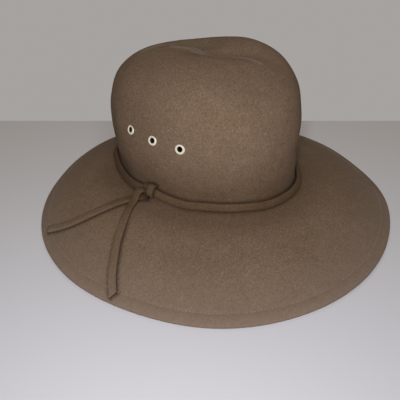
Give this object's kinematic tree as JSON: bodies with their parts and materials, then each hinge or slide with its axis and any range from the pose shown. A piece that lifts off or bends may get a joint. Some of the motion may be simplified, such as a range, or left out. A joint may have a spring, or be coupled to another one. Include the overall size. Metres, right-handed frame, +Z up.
{
  "type": "wool felt hat",
  "caption": "Wide-brimmed wool felt hat with a soft creased crown, a drooping brim folded under at its edge, a narrow knotted felt tie with loose ends, and metal eyelets.",
  "frame": {"origin": "on the surface that the hat rests on, under the middle of its bounding box", "axes": "+Z up through the crown, the wearer faces -Y, +X is the wearer's left"},
  "size_m": [0.3675, 0.3689, 0.1608],
  "materials": {
    "felt": "matt napped wool felt, mottled taupe brown",
    "tie_felt": "the same felt folded into a narrow strip",
    "eyelet_enamel": "satin ivory enamel on sheet metal"
  },
  "bodies": {
    "root": {"felt_body": "felt", "tie_band": "tie_felt", "tie_knot": "tie_felt", "tie_tail_front": "tie_felt", "tie_tail_side": "tie_felt", "eyelet_1": "eyelet_enamel", "eyelet_2": "eyelet_enamel", "eyelet_3": "eyelet_enamel"}
  },
  "joints": []
}
